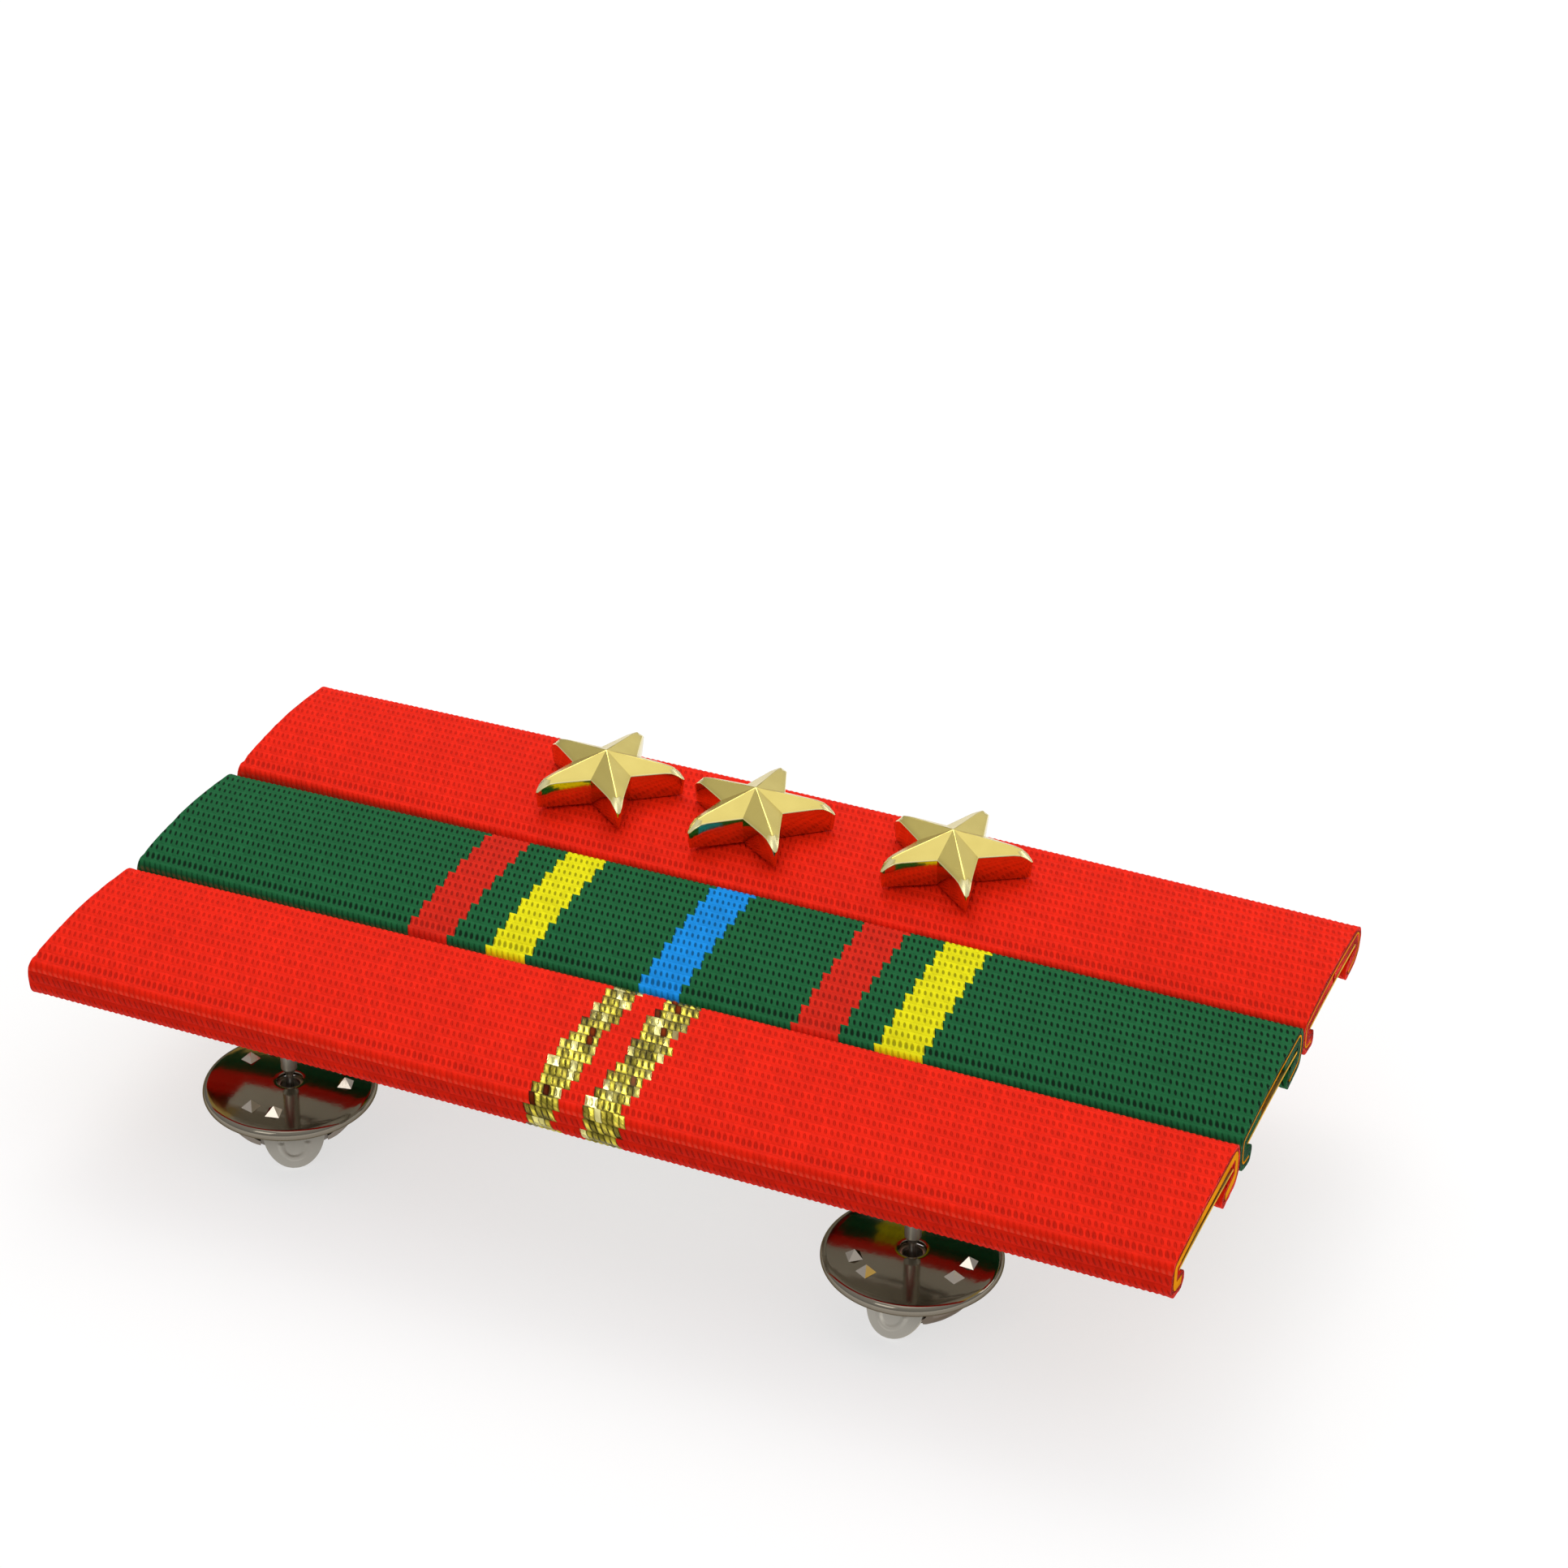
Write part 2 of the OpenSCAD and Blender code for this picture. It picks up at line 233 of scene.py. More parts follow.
def addBump(tree, shader, height, distance, strength=1.0):
    bump = tree.nodes.new("ShaderNodeBump")
    bump.inputs["Strength"].default_value = strength
    bump.inputs["Distance"].default_value = distance
    tree.links.new(height, bump.inputs["Height"])
    tree.links.new(bump.outputs[0], shader.inputs["Normal"])


def makePaper():
    material, tree, shader = newMaterial("paper")
    tone = blendColours(tree, cloud(tree, room["toneScale"]), *room["floorTones"])
    tree.links.new(tone, shader.inputs["Base Color"])
    shader.inputs["Roughness"].default_value = room["floorRoughness"]
    shader.inputs["Emission Color"].default_value = (1, 1, 1, 1)
    shader.inputs["Emission Strength"].default_value = room["floorGlow"]
    return material


# Ribbons: a ribbed band, where each warp thread shows over every other rib

weave = {
    "rib": 0.92 * mm,      # from one rib to the next, across the row
    "thread": 0.42 * mm,   # between the threads that show side by side on one rib
    "lean": 0.85,          # how far a thread leans over one rib, in threads
    "creaseRib": 0, "bandRib": -1,  # ribs are counted from the crease, below 0 to the near side
    "ribDepth": 0.05 * mm, "foldDepth": 0.1 * mm, "slitDepth": 0.08 * mm,
    "foldFrom": 0.6 * mm, "foldOver": 1.2 * mm,  # how far down the sides the grooves deepen
    "fade": 0.8 * mm,      # the relief dies away over this length at the cut ends
    "wander": 0.05 * mm, "wanderScale": (45, 60), "fray": 0.08 * mm, "frayScale": 900, "seedStep": 3.7,
}
slits = {  # half the size of the gap between two threads, in threads and in ribs
    "closed": (0.24, 0.34), "opened": (0.34, 0.42), "edge": (1.2, 0.2),
    # creaseDark is painted shade: how much darker the slits in the crease are
    "onBand": 0.5, "creaseDark": 0.34,
}
threadShade = {
    "least": 0.92, "spread": 0.16, "patchScale": 160,
    "groove": 0.08, "grooveEdge": (0.35, 0.0), "side": 0.22,  # painted shade: how much darker the grooves between ribs and the near side wall are
    # painted highlight: a small bright spot on the band, one to a thread
    "bandHighlight": 0.09, "highlightColour": (1.0, 0.35, 0.2), "highlightAcross": (0.42, 0.14), "highlightAlong": (0.42, 0.12),
    "roughness": 0.62, "specular": 0.05,
    "round": 2.4, "hump": 0.8, "slit": 0.5, "bump": 0.09 * mm, "bumpStrength": 0.9,  # relief of a thread
}
dyes = {  # colour, and how dark the painted shade in the slits between threads is
    "red": (0.84, 0.016, 0.003, 0.22), "green": (0.010, 0.115, 0.036, 0.88),
    "brick": (0.66, 0.018, 0.006, 0.42), "yellow": (0.80, 0.74, 0.004, 0.55),
    "blue": (0.007, 0.26, 0.75, 0.62), "gold": (0.72, 0.60, 0.07, 0.62),
}
# The cut is the flat ribbon across the row, the tail is what is tucked in behind the slat, and the lift is
# how much less the far side falls at the left end, the middle and the right end
ribbons = {
    "top": {"slot": "ribbon_red", "ground": "red", "cut": 41.9, "slatLow": 0.60, "tailEnd": 0.2,
            "lift": (0, 0.45, 0), "stripes": []},
    "middle": {"slot": "ribbon_green", "ground": "green", "cut": 37.1, "slatLow": 0.60, "tailEnd": 2.6,
               "lift": (0, 0.5, 0.45),
               "stripes": [("brick", -19.2, -16.05), ("yellow", -13.1, -10.1), ("blue", -1.9, 1.15),
                           ("brick", 9.15, 12.35), ("yellow", 15.2, 18.4)]},
    "bottom": {"slot": "ribbon_red", "ground": "red", "cut": 30.5, "slatLow": 1.05, "tailEnd": 5.0,
               "lift": (0, 0.5, 0.45),
               "stripes": [("gold", -3.35, -1.15), ("gold", 0.85, 3.2)]},
}
rowLength = 80.0  # of the colour ramp, in mm
foil = {
    "cell": 1.05 * mm, "shift": 0.1 * mm, "ragged": 0.5 * mm,  # how the ends of the foil threads differ
    "bare": 0.05, "bareColour": (0.16, 0.02, 0.0),             # the share of threads without foil
    # painted glints and shade: the random brightness of each foil thread, lighter on the hump and darker at
    # the sides, and a painted sparkle
    "glow": 0.4, "glowSpread": 1.2, "roundShade": 3.0, "humpGlow": (0.4, 0.7),
    "sparkle": (0.68, 0.95), "sparkleShare": 0.85, "sparkleColour": (1.0, 0.93, 0.38),
    "smooth": 0.36, "tilt": 5.5,
}
seeds = {"tint": 1.0, "slip": 5.0, "tiltAlong": 7.0, "glow": 9.0, "tiltAcross": 11.0, "sparkle": 13.0}


def stripeRamp(tree, style, colourOf):
    ramp = tree.nodes.new("ShaderNodeValToRGB")
    ramp.color_ramp.interpolation = "CONSTANT"
    ramp.color_ramp.elements.remove(ramp.color_ramp.elements[1])
    ramp.color_ramp.elements[0].color = colourOf(style["ground"])
    for dye, start, end in style["stripes"]:
        ramp.color_ramp.elements.new(start / rowLength + 0.5).color = colourOf(dye)
        ramp.color_ramp.elements.new(end / rowLength + 0.5).color = colourOf(style["ground"])
    return ramp


# Where a point lies in the weave
def readWeave(tree):
    split = tree.nodes.new("ShaderNodeSeparateXYZ")
    tree.links.new(objectPlace(tree), split.inputs[0])
    across = tree.nodes.new("ShaderNodeAttribute")
    across.attribute_name = "across"
    ribs = calc(tree, "DIVIDE", across.outputs["Fac"], weave["rib"])
    rib = calc(tree, "FLOOR", ribs)
    inRib = minus(tree, ribs, rib)
    shift = times(tree, calc(tree, "FLOORED_MODULO", rib, 2), 0.5)
    lean = times(tree, minus(tree, inRib, 0.5), weave["lean"])
    threads = plus(tree, calc(tree, "DIVIDE", split.outputs["X"], weave["thread"]), lean)
    threads = minus(tree, threads, shift)
    thread = calc(tree, "ROUND", threads)
    fromThread = minus(tree, threads, thread)
    return {
        "rib": rib, "inRib": inRib,  # 0 and 1 in the grooves, 0.5 on the rib
        "fromThread": fromThread, "offThread": calc(tree, "ABSOLUTE", fromThread),
        "threadPlace": plus(tree, thread, shift),
        "hump": calc(tree, "SINE", times(tree, inRib, math.pi)),
        "isCrease": calc(tree, "COMPARE", rib, weave["creaseRib"], 0.1),
        "isBand": calc(tree, "COMPARE", rib, weave["bandRib"], 0.1),
        "isSide": calc(tree, "LESS_THAN", rib, weave["bandRib"] - 0.5),
    }


# 1 inside the gap between two threads, over one rib
def slitShape(tree, spot, size):
    side = calc(tree, "DIVIDE", minus(tree, 0.5, spot["offThread"]), size[0])
    along = calc(tree, "DIVIDE", minus(tree, spot["inRib"], 0.5), size[1])
    away = plus(tree, calc(tree, "POWER", side, 2), times(tree, along, along))
    return fadeIn(tree, away, *slits["edge"])


# The slits are wider in the crease and half closed on the band beside it
def findSlits(tree, spot):
    opened = times(tree, slitShape(tree, spot, slits["opened"]), spot["isCrease"])
    slit = calc(tree, "MAXIMUM", slitShape(tree, spot, slits["closed"]), opened)
    return times(tree, slit, minus(tree, 1.0, times(tree, spot["isBand"], slits["onBand"])))


# Where a thread lies along the row's colours, and the foil threads end raggedly
def colourShare(tree, spot, hasFoil):
    place = times(tree, spot["threadPlace"], weave["thread"])
    if hasFoil:
        cell = calc(tree, "FLOOR", calc(tree, "DIVIDE", plus(tree, place, foil["shift"]), foil["cell"]))
        slip = minus(tree, speckle(tree, spot["rib"], cell, seeds["slip"]), 0.5)
        place = plus(tree, place, times(tree, slip, foil["ragged"]))
    return plus(tree, calc(tree, "DIVIDE", place, rowLength * mm), 0.5)


def shadeThreads(tree, spot, slit, spread, ramp):
    look = threadShade
    tint = plus(tree, times(tree, spread, look["spread"]), look["least"])
    patch = plus(tree, times(tree, cloud(tree, look["patchScale"], 3), look["spread"]), look["least"])
    tint = times(tree, tint, patch)
    # painted shade: the slits between threads are darkened, by as much as the dye's alpha says
    dark = times(tree, slit, ramp.outputs["Alpha"])
    # painted shade in the crease: its slits are darker still
    inCrease = times(tree, times(tree, slit, spot["isCrease"]), slits["creaseDark"])
    dark = calc(tree, "MAXIMUM", dark, inCrease)
    shade = times(tree, tint, minus(tree, 1.0, dark))
    # painted shade in the grooves between ribs
    groove = fadeIn(tree, spot["hump"], *look["grooveEdge"])
    shade = minus(tree, shade, times(tree, groove, look["groove"]))
    # painted shade on the near side wall, beside the next row
    shade = minus(tree, shade, times(tree, spot["isSide"], look["side"]))
    colour = blendColours(tree, 1.0, ramp.outputs[0], shade, "MULTIPLY")
    # painted highlight: bright spots on the band's rib, one to a thread
    bandHighlight = times(tree, fadeIn(tree, spot["inRib"], *look["highlightAcross"]),
                  fadeIn(tree, spot["offThread"], *look["highlightAlong"]))
    bandHighlight = times(tree, times(tree, bandHighlight, spot["isBand"]), look["bandHighlight"])
    return blendColours(tree, bandHighlight, colour, look["highlightColour"])


# Foil threads: some are bare, some get a painted sparkle, and each lies at its own tilt; each gets a random
# painted brightness for its glint, and painted shade, lighter on its hump and darker at its sides
def addFoil(tree, shader, spot, spread, isFoil, colour, height):
    def chance(name):
        return speckle(tree, spot["threadPlace"], spot["rib"], seeds[name])

    missing = times(tree, isFoil, calc(tree, "LESS_THAN", spread, foil["bare"]))
    colour = blendColours(tree, missing, colour, foil["bareColour"])
    # painted glint: a random brightness for each foil thread
    glow = plus(tree, times(tree, chance("glow"), foil["glowSpread"]), foil["glow"])
    # painted shade: darker at a thread's sides, lighter on its hump
    roundShade = minus(tree, 1.0, times(tree, calc(tree, "POWER", spot["offThread"], 2), foil["roundShade"]))
    least, more = foil["humpGlow"]
    roundShade = times(tree, roundShade, plus(tree, times(tree, spot["hump"], more), least))
    glow = times(tree, glow, roundShade)
    glow = plus(tree, times(tree, minus(tree, glow, 1.0), isFoil), 1.0)
    colour = blendColours(tree, 1.0, colour, glow, "MULTIPLY")
    # painted highlight: a few threads are made nearly white
    sparkle = fadeIn(tree, chance("sparkle"), *foil["sparkle"])
    sparkle = times(tree, times(tree, sparkle, isFoil), foil["sparkleShare"])
    colour = blendColours(tree, sparkle, colour, foil["sparkleColour"])
    shiny = minus(tree, isFoil, missing)
    tree.links.new(shiny, shader.inputs["Metallic"])
    rough = minus(tree, threadShade["roughness"], times(tree, shiny, foil["smooth"]))
    tree.links.new(rough, shader.inputs["Roughness"])
    along = times(tree, spot["fromThread"], minus(tree, chance("tiltAlong"), 0.5))
    across = times(tree, minus(tree, spot["inRib"], 0.5), minus(tree, chance("tiltAcross"), 0.5))
    tilt = times(tree, plus(tree, along, across), isFoil)
    return colour, plus(tree, height, times(tree, tilt, foil["tilt"]))


def makeRibbonCloth(row):
    style = ribbons[row]
    hasFoil = any(dye == "gold" for dye, _, _ in style["stripes"])
    material, tree, shader = newMaterial("ribbon_" + row)
    spot = readWeave(tree)
    slit = findSlits(tree, spot)
    share = colourShare(tree, spot, hasFoil)
    ramp = stripeRamp(tree, style, lambda dye: dyes[dye])
    tree.links.new(share, ramp.inputs[0])
    spread = speckle(tree, spot["threadPlace"], spot["rib"], seeds["tint"])
    colour = shadeThreads(tree, spot, slit, spread, ramp)
    look = threadShade
    rounded = minus(tree, 1.0, times(tree, calc(tree, "POWER", spot["offThread"], 2), look["round"]))
    height = times(tree, times(tree, spot["hump"], rounded), look["hump"])
    height = minus(tree, height, times(tree, slit, look["slit"]))
    if hasFoil:
        metal = stripeRamp(tree, style, lambda dye: (1, 1, 1, 1) if dye == "gold" else (0, 0, 0, 1))
        tree.links.new(share, metal.inputs[0])
        isFoil = calc(tree, "GREATER_THAN", metal.outputs[0], 0.5)
        colour, height = addFoil(tree, shader, spot, spread, isFoil, colour, height)
    else:
        shader.inputs["Roughness"].default_value = look["roughness"]
    tree.links.new(colour, shader.inputs["Base Color"])
    shader.inputs["Specular IOR Level"].default_value = look["specular"]
    addBump(tree, shader, height, look["bump"], look["bumpStrength"])
    return material


section = {
    "width": 13.7, "crown": 0.2, "crest": -1.1, "fallNear": 0.005, "fallFar": 0.0095,
    "root": 3.2, "lipDrop": 0.45, "lipNear": 2.6, "lipFar": 3.4,
    "roundNear": 0.9, "roundFar": 1.4, "roundLow": 1.2, "leastRound": 0.07,
    "liftEnd": 2.6, "liftFade": 1.8,     # depth where a row's lift ends, and over how much it fades out
    "cloth": 0.42,                       # wall of the ribbon
    "slatTop": 0.45, "slatSteps": 8,     # depth of the slat's outer face, and its steps along the row
    "slatShort": 0.02,                   # how much shorter the slat's lips are than the ribbon's
    "tailGap": 0.04, "tailLow": 1.3,     # the ribbon's end, tucked in under the slat
    "crease": 1.1, "creaseDepth": 0.10,  # the opened row of slits along the near side, from the row's edge
}


def arcPoints(centre, radius, start, end, count):
    for i in range(count + 1):
        angle = math.radians(start + (end - start) * i / count)
        yield (centre[0] + radius * math.cos(angle), centre[1] + radius * math.sin(angle))


def lipAngle(lip):
    return math.atan(section["lipDrop"] / lip)


def lipPoint(lip, along, up):
    turn = lipAngle(lip)
    return (section["width"] / 2 - along * math.cos(turn) - up * math.sin(turn),
            -section["root"] - along * math.sin(turn) + up * math.cos(turn))


# The face falls more to the far side, and the inner layers less so
def faceHeight(depth, y):
    even = section["crown"] * (y / (section["width"] / 2)) ** 2
    off = y - section["crest"]
    outer = off * off * (section["fallFar"] if off > 0 else section["fallNear"])
    return -depth - even - (outer - even) * max(1 - depth / section["tailLow"], 0)


# What the far side is lifted by at a place in mm, from the row's middle and its top
def rowLift(row, x, y, z):
    left, centre, right = ribbons[row]["lift"]
    share = x / (rowLength / 2)
    amount = centre + (right - left) / 2 * share + ((right + left) / 2 - centre) * share * share
    off = max(y - section["crest"], 0) / (section["width"] / 2 - section["crest"])
    return amount * off * off * min(max((z + section["liftEnd"]) / section["liftFade"], 0), 1)


# One side of a row at a depth under the cloth: from the face, round the side, to the lip's edge
def sideRun(depth, side, tipInset, faceStart, arcCount=14, faceCount=12):
    lip = section["lip" + side]
    turn = lipAngle(lip)
    radius = max(section["round" + side] - depth, section["leastRound"])
    x = section["width"] / 2 - depth - radius
    for i in range(faceCount):
        y = faceStart + (x - faceStart) * i / faceCount
        yield (y, faceHeight(depth, y))
    yield from arcPoints((x, faceHeight(depth, x) - radius), radius, 90, 0, arcCount)
    radius = max(section["roundLow"] - depth, section["leastRound"])
    x = section["width"] / 2 - depth - radius
    low = (depth + radius) * (1 - math.sin(turn)) / math.cos(turn) - section["root"]
    yield from arcPoints((x, low), radius, 0, math.degrees(turn) - 90, arcCount)
    yield lipPoint(lip, lip / math.cos(turn) - tipInset, depth)


# Round a lip's edge, from its underside to its inside, a wall's depth in
def noseRun(side, inset, wall, count=8):
    lip = section["lip" + side]
    middle = section["tailLow"] / 2
    radius = middle - wall
    along = lip / math.cos(lipAngle(lip)) - inset
    for i in range(1, count):
        angle = math.radians(-90 + 180 * i / count)
        yield lipPoint(lip, along + radius * math.cos(angle), middle + radius * math.sin(angle))


def mirrored(points):
    return [(-y, z) for y, z in points]


# Lengths along a line, to each of its points
def measured(points):
    lengths = [0.0]
    for a, b in zip(points, points[1:]):
        lengths.append(lengths[-1] + math.dist(a, b))
    return lengths


# Points along a line at whole steps from an origin, as (length, y, z)
def evenly(points, lengths, step, origin):
    first = math.ceil((lengths[0] - origin) / step + 0.01)
    last = math.floor((lengths[-1] - origin) / step - 0.01)
    k = 0
    for i in range(first, last + 1):
        target = origin + i * step
        while lengths[k + 1] < target:
            k += 1
        share = (target - lengths[k]) / (lengths[k + 1] - lengths[k])
        a, b = points[k], points[k + 1]
        yield (i * step, a[0] + (b[0] - a[0]) * share, a[1] + (b[1] - a[1]) * share)


# The closed outline of a wrapped ribbon in mm: (y, z, length across, relief) for each point
def ribbonSection(style):
    nose = section["tailLow"] / 2
    tailTop = style["slatLow"] + section["tailGap"]
    far = list(sideRun(0, "Far", nose, 0.0))
    near = mirrored(sideRun(0, "Near", nose, 0.0))
    outer = mirrored(noseRun("Near", nose, 0))[::-1] + near[::-1] + far[1:] + list(noseRun("Far", nose, 0))
    lengths = measured(outer)
    rib = weave["rib"] / mm
    faceStart = section["roundNear"] - section["width"] / 2  # where the near side's round ends
    edge = next(l for l, (y, z) in zip(lengths, outer) if y > faceStart - 0.01 and z > -1)
    origin = edge + section["crease"] - section["roundNear"] - rib / 2
    outline = [(*outer[0], lengths[0] - origin, 0.0)]
    for across, y, z in evenly(outer, lengths, rib / 4, origin):
        if 0 < across < rib:
            z -= section["creaseDepth"] * (1 - abs(2 * across / rib - 1))
        outline.append((y, z, across, 1.0))
    outline.append((*outer[-1], lengths[-1] - origin, 0.0))

    def leg(depth, side, start):
        run = list(sideRun(depth, side, nose, start, arcCount=4, faceCount=3))
        return run if side == "Far" else mirrored(run)

    tail, cloth = style["tailEnd"], section["cloth"]
    inner = leg(section["tailLow"], "Far", tail)[::-1] + leg(tailTop, "Far", tail)
    inner += list(noseRun("Far", nose, cloth, 5))[::-1]
    inner += leg(cloth, "Far", 0.0)[::-1] + leg(cloth, "Near", 0.0)[1:]
    inner += mirrored(noseRun("Near", nose, cloth, 5))
    inner += leg(tailTop, "Near", tail)[::-1] + leg(section["tailLow"], "Near", tail)
    outline += [(y, z, outline[-1][2] + l, 0.0) for (y, z), l in zip(inner, measured(inner))]
    return outline


# Draws a closed section along X, in even steps, and closes its two ends
def sweepAlong(bm, ring, length, count):
    edges = [bm.edges.new((ring[i - 1], ring[i])) for i in range(len(ring))]
    start = ring[0].co.x
    pulled = bmesh.ops.extrude_edge_only(bm, edges=edges)["geom"]
    moved = [g for g in pulled if isinstance(g, bmesh.types.BMVert)]
    bmesh.ops.translate(bm, verts=moved, vec=(length, 0, 0))
    runs = [e for e in bm.edges if abs(e.verts[0].co.x - e.verts[1].co.x) > length / 2]
    bmesh.ops.subdivide_edges(bm, edges=runs, cuts=count - 1, use_grid_fill=True)
    for end in (start, start + length):
        rim = [e for e in bm.edges if e.is_boundary and all(abs(v.co.x - end) < 0.01 * mm for v in e.verts)]
        for face in bmesh.ops.contextual_create(bm, geom=rim)["faces"]:
            for edge in face.edges:
                edge.smooth = False
    for face in bm.faces:
        face.smooth = len(face.verts) < 5


def buildRibbon(row):
    low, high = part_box("ribbon_" + row)
    middle = (low.y + high.y) / 2
    count = round((high.x - low.x) / (weave["thread"] / 2))
    step = (high.x - low.x) / count
    bm = bmesh.new()
    acrossLayer = bm.verts.layers.float.new("across")
    placeLayer = bm.verts.layers.float.new("place")
    outline = ribbonSection(ribbons[row])
    outwards = []
    ring = []
    for i, (y, z, across, _) in enumerate(outline):
        before, after = outline[i - 1], outline[(i + 1) % len(outline)]
        outward = Vector((0, before[1] - after[1], after[0] - before[0]))
        outwards.append(outward.normalized())
        vert = bm.verts.new((low.x, middle + y * mm, high.z + z * mm))
        vert[acrossLayer] = across * mm
        vert[placeLayer] = i
        ring.append(vert)
    sweepAlong(bm, ring, high.x - low.x, count)
    seed = rowNames.index(row) * weave["seedStep"]
    alongScale, acrossScale = weave["wanderScale"]
    frayScale = weave["frayScale"]
    for vert in bm.verts:
        x = vert.co.x
        i = round(vert[placeLayer])
        fromEnd = min(abs(x - low.x), abs(high.x - x))
        if outline[i][3]:
            ribs = vert[acrossLayer] / weave["rib"]
            hump = abs(math.sin(math.pi * ribs))
            onTop = round((x - low.x) / step) % 2 == math.floor(ribs + 1e-4) % 2
            folded = min(max((high.z - vert.co.z - weave["foldFrom"]) / weave["foldOver"], 0), 1)
            sink = (weave["ribDepth"] + folded * weave["foldDepth"]) * (1 - hump ** 0.8)
            sink += 0 if onTop else weave["slitDepth"] * hump * hump
            vert.co -= outwards[i] * sink * min(fromEnd / weave["fade"], 1)
        sway = noise.noise(Vector((x * alongScale, vert.co.y * acrossScale, seed)))
        vert.co.y += weave["wander"] * sway
        vert.co.z += rowLift(row, x / mm, outline[i][0], outline[i][1]) * mm
        if fromEnd < step / 2:  # the cut ends are not quite even
            fray = noise.noise(Vector((vert.co.y * frayScale, vert.co.z * frayScale, seed + x)))
            vert.co.x -= math.copysign(weave["fray"] * abs(fray), x)
    bmesh.ops.recalc_face_normals(bm, faces=bm.faces)
    piece = newPiece("cloth_" + row, bm, [makeRibbonCloth(row)])
    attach(piece, "bar")
    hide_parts("ribbon_" + row)


# Slats: the brass channel under the ribbon, whose edge shows at the ends

brassLook = {
    "slat_brass": {"tone": (0.80, 0.38, 0.045), "tarnish": (0.60, 0.25, 0.02), "roughness": 0.28},
    "liner_brass": {"tone": (0.78, 0.62, 0.22), "tarnish": (0.52, 0.40, 0.14), "roughness": 0.26},
    "lowView": (0.95, 0.55, 0.15, 1),  # so that a low view stays golden
    "stainScale": 420, "stainDetail": 5, "stainEdge": (0.42, 0.7), "stainRough": 0.18,
    "streakScale": 900, "streakShape": (0.08, 1, 1), "streakRough": 0.08,
    "bump": 0.02 * mm, "bumpStrength": 0.3,
}


def makeBrass(name):
    look, sheet = brassLook, brassLook[name]
    material, tree, shader = newMaterial(name)
    stain = fadeIn(tree, cloud(tree, look["stainScale"], look["stainDetail"]), *look["stainEdge"])
    colour = blendColours(tree, stain, sheet["tone"], sheet["tarnish"])
    tree.links.new(colour, shader.inputs["Base Color"])
    shader.inputs["Metallic"].default_value = 1
    shader.inputs["Specular Tint"].default_value = look["lowView"]
    streak = cloud(tree, look["streakScale"], 2, look["streakShape"])
    rough = plus(tree, times(tree, stain, look["stainRough"]), sheet["roughness"])
    rough = plus(tree, rough, times(tree, streak, look["streakRough"]))
    tree.links.new(rough, shader.inputs["Roughness"])
    addBump(tree, shader, streak, look["bump"], look["bumpStrength"])
    return material


def buildSlat(row, brass):
    low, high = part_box("slat_" + row)
    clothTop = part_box("ribbon_" + row)[1].z
    middle = (low.y + high.y) / 2
    reach = section["tailLow"] / 2 + section["slatShort"]

    def leg(depth, side):
        return list(sideRun(depth, side, reach, 0.0, arcCount=6, faceCount=4))

    top, lower = section["slatTop"], ribbons[row]["slatLow"]
    outline = leg(top, "Far") + leg(lower, "Far")[::-1]
    outline += mirrored(leg(lower, "Near"))[1:] + mirrored(leg(top, "Near"))[:0:-1]
    bm = bmesh.new()
    ring = [bm.verts.new((low.x, middle + y * mm, clothTop + z * mm)) for y, z in outline]
    sweepAlong(bm, ring, high.x - low.x, section["slatSteps"])
    for vert in bm.verts:
        x, y, z = vert.co / mm
        vert.co.z += rowLift(row, x, y - middle / mm, z - clothTop / mm) * mm
    bmesh.ops.recalc_face_normals(bm, faces=bm.faces)
    piece = newPiece("channel_" + row, bm, [brass])
    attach(piece, "bar")
    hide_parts("slat_" + row)


# Metal finishes

nickelLook = {  # haze is how much the roughness differs from place to place
    "rack_nickel": {"tone": (0.62, 0.60, 0.54), "roughness": 0.22, "haze": 0.12, "streaks": (0.05, 1, 1)},
    # painted shade and highlight: the disc and the hood are darker than the other nickel, and the nibs,
    # pressed from the disc, lighter
    "disc_nickel_painted_shade": {"tone": (0.27, 0.24, 0.19), "roughness": 0.05, "haze": 0.05, "streaks": (1, 1, 1)},
    "hood_nickel_painted_shade": {"tone": (0.35, 0.31, 0.27), "roughness": 0.14, "haze": 0.08, "streaks": (1, 1, 1)},
    "spring_nickel": {"tone": (0.62, 0.585, 0.51), "roughness": 0.28, "haze": 0.1, "streaks": (1, 0.1, 1)},
    "nib_nickel_painted_highlight": {"tone": (0.58, 0.51, 0.43), "roughness": 0.06, "haze": 0.04, "streaks": (1, 1, 1)},
    "blotchScale": 260, "blotchDetail": 4, "blotchDark": 0.88,
    "lineScale": 2600, "bump": 0.012 * mm, "bumpStrength": 0.25,
}


def makeNickel(name):
    look, plating = nickelLook, nickelLook[name]
    tone, haze = plating["tone"], plating["haze"]
    material, tree, shader = newMaterial(name)
    blotch = cloud(tree, look["blotchScale"], look["blotchDetail"])
    colour = blendColours(tree, blotch, tone, tuple(look["blotchDark"] * c for c in tone))
    tree.links.new(colour, shader.inputs["Base Color"])
    shader.inputs["Metallic"].default_value = 1
    shader.inputs["Specular Tint"].default_value = (*tone, 1)  # old plating doesn't whiten in a low view
    lines = cloud(tree, look["lineScale"], 2, plating["streaks"])
    rough = plus(tree, times(tree, blotch, haze), plating["roughness"])
    rough = plus(tree, rough, times(tree, lines, haze))
    tree.links.new(rough, shader.inputs["Roughness"])
    addBump(tree, shader, lines, look["bump"], look["bumpStrength"])
    return material


# The parts of a star are told apart by how far they face up: walls, tips with a painted highlight, and struck
# facets
starLook = {
    "tones": ((0.74, 0.61, 0.19), (0.62, 0.50, 0.14)), "blotchScale": 500,
    "tipHighlight": (1.0, 0.90, 0.48), "tipHighlightFrom": (0.3, 0.5), "tipHighlightTo": (0.82, 0.68),
    "roughness": 0.07, "blotchRough": 0.06, "satin": 0.16, "satinFrom": (0.25, 0.7),
    "grainScale": 4000, "bump": 0.01 * mm, "bumpStrength": 0.2,
}


